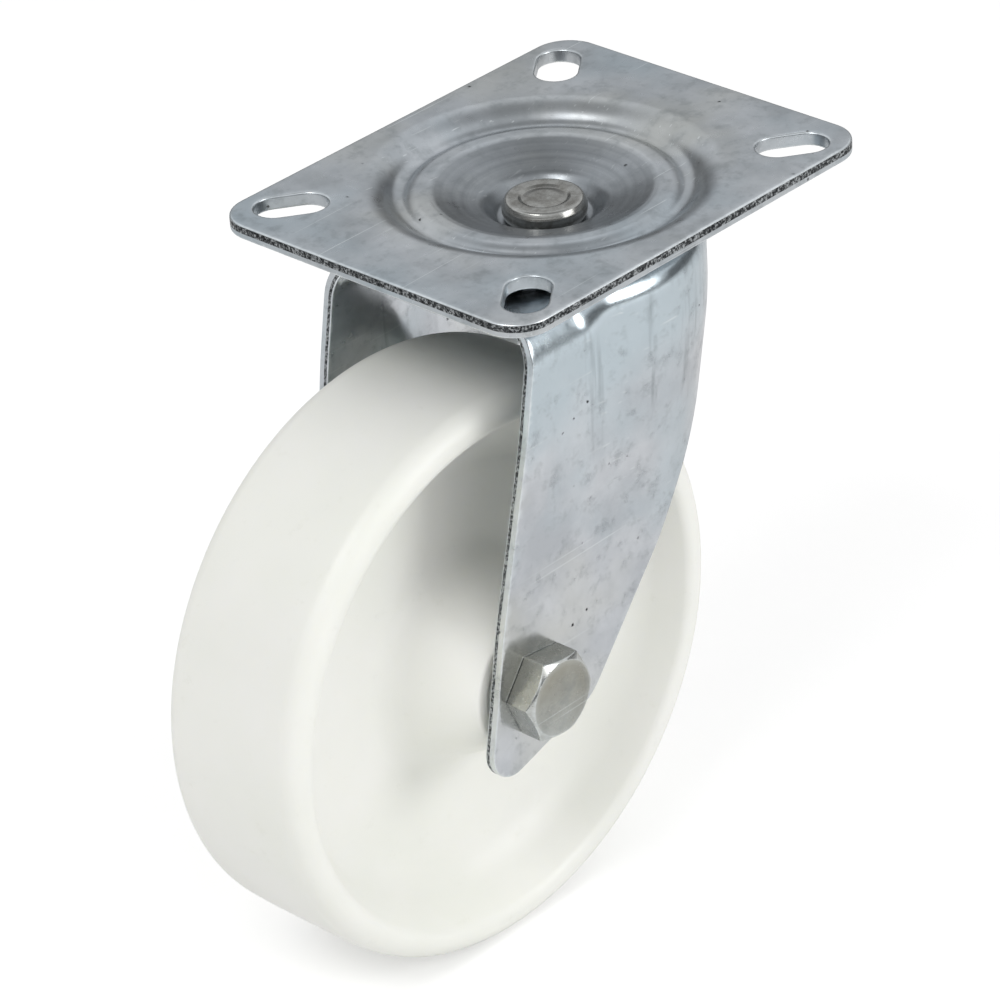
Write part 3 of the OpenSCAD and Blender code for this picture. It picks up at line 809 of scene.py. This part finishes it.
# turning marks round the wheel: its axle lies along Y, so they are fine steps in Y
squeeze = put(tree, "Mapping", {"Vector": mm, "Scale": (0.05, 1.5, 0.05)}).outputs[0]
turned = put(tree, "TexNoise", {"Vector": squeeze, "Scale": 1.0, "Detail": 3.0}).outputs["Fac"]
relief = put(tree, "Math", {0: dirt, 1: 0.5, 2: turned}, operation="MULTIPLY_ADD").outputs[0]
bump = put(tree, "Bump", {"Height": relief, "Strength": 0.35, "Distance": 0.04 * MM})
tree.links.new(bump.outputs[0], shader.inputs["Normal"])

wheel_r, half_w, hub_half, hub_r, web_half, rim_r, bore_r = 62.5, 18, 22, 13.5, 5.5, 56, 10.06
half_wheel = [
    (bore_r, hub_half, 0.5), (hub_r, hub_half, 1), (hub_r + 9.5, web_half, 8), (rim_r - 7, web_half, 12),
    (rim_r, half_w, 2.5), (wheel_r - 0.4, half_w, 4.5), (wheel_r, half_w / 2, 120)
]
other = [(r, -y, *bend) for r, y, *bend in reversed(half_wheel)]
section = closer(filleted([(bore_r, 0)] + half_wheel + other + [(bore_r, 0)], 0.5), 1.2)
verts, faces = lathe(section[:-1], 256, closed=True)
wheel = Builder()
wheel.add(np.c_[verts[:, 0] + axle_x, verts[:, 2], verts[:, 1] + axle_z], faces)
wheel.piece("wheel_cast", "wheel", "wheel", "wheel_polyamide", [polyamide], sharp=60)

# Axle. A hexagon bolt through both legs and a nut with a nylon ring, both zinc plated; they
# clamp the legs on a turned tube, and the wheel's needle cage runs on that tube.
bolt_zinc = zinc_plating("zinc_plated_steel_bolt", "#b4b8b6", "#8e9291", "#a5b1b5", "#b2ab97", 0.26)


def hexagon(width, height, turn, bottom=0.0, hole_r=None, collar=None):
    """A hexagon with rounded corners, its top turned to a cone; seen from its free end.
    Ends flat, or goes on in a collar round a hole."""
    reach = width / 2 / math.cos(math.pi / 6)
    corners = [
        (reach * math.cos(math.radians(60 * i + turn)), reach * math.sin(math.radians(60 * i + turn)), 0.45)
        for i in range(6)
    ]
    loop = filleted([corners[-1], *corners, corners[0]], 0.12)[1:-1]
    loop = closer(loop, 0.7, closed=True)
    far = np.hypot(loop[:, 0], loop[:, 1])
    top_r = width / 2 - 0.45
    crest = height - np.maximum(far - top_r, 0) * 0.577

    def row(shrink, z):
        return np.c_[loop * (1 - shrink / far)[:, None], z]

    def circle_row(r, z):
        return np.c_[loop / far[:, None] * r, np.full(len(loop), z)]

    base = np.full(len(loop), bottom)
    rows = [
        row(0.35, base), row(0.08, base + 0.1), row(0, base + 0.35), row(0, crest - 0.22),
        row(0.07, crest - 0.07), row(0.22, crest + 0.07), circle_row(top_r + 0.15, height - 0.06),
        circle_row(top_r - 0.15, height)
    ]
    wear = [0.2, 0.5, 0.1, 0.3, 0.9, 0.5, 0.8, 0.2]
    for r, z in (collar or [(r, height) for r in np.linspace(top_r - 1.2, 0.02, 7)]):
        rows.append(circle_row(r, z))
        wear.append(0.0)
    if hole_r is None:
        rows = [circle_row(0.0, bottom), *rows, circle_row(0.0, height)]
        wear = [0.0, *wear, 0.0]
    else:
        rows.append(rows[0])
        wear.append(0.0)
    return rows, wear


bolt_r, hex_af, hex_h, hex_turn = 5, 17, 6.4, 53
bolt = Builder()


def on_bolt(points):
    """From a head that stands up along +Z to one that points along -Y at the near leg."""
    p = np.asarray(points)
    return np.c_[p[:, 0] + axle_x, -p[:, 2] - fork_half, p[:, 1] + axle_z]


rows, wear = hexagon(hex_af, hex_h, hex_turn)
bolt.band([on_bolt(r) for r in rows], [0] * (len(rows) - 1), wear)
# the shank and its thread: pitch 1.5 mm, from inside the nut to the end
pitch, thread_from, shank_end = 1.5, 30.0, 38.1
shank_start = -fork_half - 0.5
lengths = np.concatenate([[shank_start, thread_from], np.arange(thread_from + 0.12, shank_end + 0.01, 0.12)])
turns = np.arange(64) * math.pi / 32
shank = []
for y in lengths:
    phase = (y / pitch - turns / (2 * math.pi)) % 1
    cut = np.clip(1.3 - np.abs(phase - 0.5) * 3.2, 0, 1) * 0.75 * np.clip((y - thread_from) / 1.0, 0, 1)
    r = np.minimum(bolt_r - 0.02 - cut, bolt_r - np.maximum(y - (shank_end - 1), 0))
    shank.append(np.c_[axle_x + r * np.cos(turns), np.full(64, y), axle_z + r * np.sin(turns)])
start, tip = (
    np.c_[np.full(64, axle_x), np.full(64, y), np.full(64, axle_z)] for y in (shank_start, shank_end)
)
bolt.band([start, *shank, tip], [0] * (len(shank) + 1), [0] * (len(shank) + 2))
bolt.piece("axle_bolt_hexagon", "yoke", "axle_bolt", "bolt_zinc", [bolt_zinc], sharp=32, weld=0.004)

nut_h, nut_turn, collar_h, hole_r, insert_t = 8, 20, 2.6, 5.05, 1.5
collar_r = hex_af / 2 - 0.6
nut_top = nut_h + collar_h
rows, wear = hexagon(hex_af, nut_h, nut_turn, hole_r=hole_r, collar=[
    (collar_r + 0.03, nut_h), (collar_r, nut_h + 0.1), (collar_r, nut_top - 0.9),
    (collar_r - 0.2, nut_top - 0.35),
    (collar_r - 0.6, nut_top), (hole_r + insert_t + 0.25, nut_top - 0.1),
    (hole_r + insert_t - 0.05, nut_top - 0.35),
    (hole_r + insert_t - 0.05, nut_top - 0.6), (hole_r + 0.02, nut_top - 0.6),
    (hole_r + 0.02, nut_top - 0.62),
    (hole_r + insert_t, nut_top - 0.62), (hole_r + insert_t, nut_h), (hole_r, nut_h), (hole_r, 0)
])


def on_nut(points):
    """The same, standing up along +Y on the far leg."""
    p = np.asarray(points)
    return np.c_[p[:, 0] + axle_x, p[:, 2] + fork_half, -p[:, 1] + axle_z]


nut = Builder()
nut.band([on_nut(r) for r in rows], [0] * (len(rows) - 1), wear)
nut.piece("axle_nut_hexagon", "yoke", "axle_nut", "nut_zinc", [bolt_zinc], sharp=32, weld=0.004)

# Blue nylon ring rolled into the nut's collar: moulded, waxy, dyed through.
nylon = bpy.data.materials.new("nylon_moulded_blue")
nylon.use_nodes = True
tree = nylon.node_tree
shader = tree.nodes["Principled BSDF"]
shader.inputs["IOR"].default_value = 1.53
place = put(tree, "TexCoord").outputs["Object"]
mm = put(tree, "VectorMath", {0: place, "Scale": 1 / MM}, operation="SCALE").outputs["Vector"]
scuff = put(tree, "TexNoise", {"Vector": mm, "Scale": 1 / 1.2, "Detail": 4.0}).outputs["Fac"]
part = put(tree, "MapRange", {"Value": scuff, "From Min": 0.4, "From Max": 0.65}).outputs["Result"]
colour = put(tree, "Mix", {0: part, 6: linear("#23558f"), 7: linear("#3b6ea6")}, data_type="RGBA").outputs[2]
tree.links.new(colour, shader.inputs["Base Color"])
gloss = put(
    tree, "MapRange", {"Value": scuff, "From Min": 0.3, "From Max": 0.7, "To Min": 0.32, "To Max": 0.5}
)
tree.links.new(gloss.outputs["Result"], shader.inputs["Roughness"])
dress(["nut_insert"], nylon)

# Tube and washers: turned and stamped steel, thinly zinc plated, rubbed by the hub.
turned_steel = zinc_plating("zinc_plated_steel_turned", "#b9bfc1", "#969da0", "#a3b2b9", "#b3b09d", 0.3)
dress(["axle_tube", "thrust_washer_left", "thrust_washer_right"], turned_steel)

# Needle cage: black glass-filled nylon, moulded, dull.
cage = bpy.data.materials.new("nylon_glass_filled_black")
cage.use_nodes = True
tree = cage.node_tree
shader = tree.nodes["Principled BSDF"]
shader.inputs["IOR"].default_value = 1.53
place = put(tree, "TexCoord").outputs["Object"]
mm = put(tree, "VectorMath", {0: place, "Scale": 1 / MM}, operation="SCALE").outputs["Vector"]
fibre = put(tree, "TexNoise", {"Vector": mm, "Scale": 1 / 0.8, "Detail": 4.0}).outputs["Fac"]
part = put(tree, "MapRange", {"Value": fibre, "From Min": 0.4, "From Max": 0.65}).outputs["Result"]
colour = put(tree, "Mix", {0: part, 6: linear("#1a1b1d"), 7: linear("#2d2f31")}, data_type="RGBA").outputs[2]
tree.links.new(colour, shader.inputs["Base Color"])
gloss = put(
    tree, "MapRange", {"Value": fibre, "From Min": 0.3, "From Max": 0.7, "To Min": 0.45, "To Max": 0.65}
)
tree.links.new(gloss.outputs["Result"], shader.inputs["Roughness"])
dress(["roller_cage"], cage)

low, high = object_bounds()
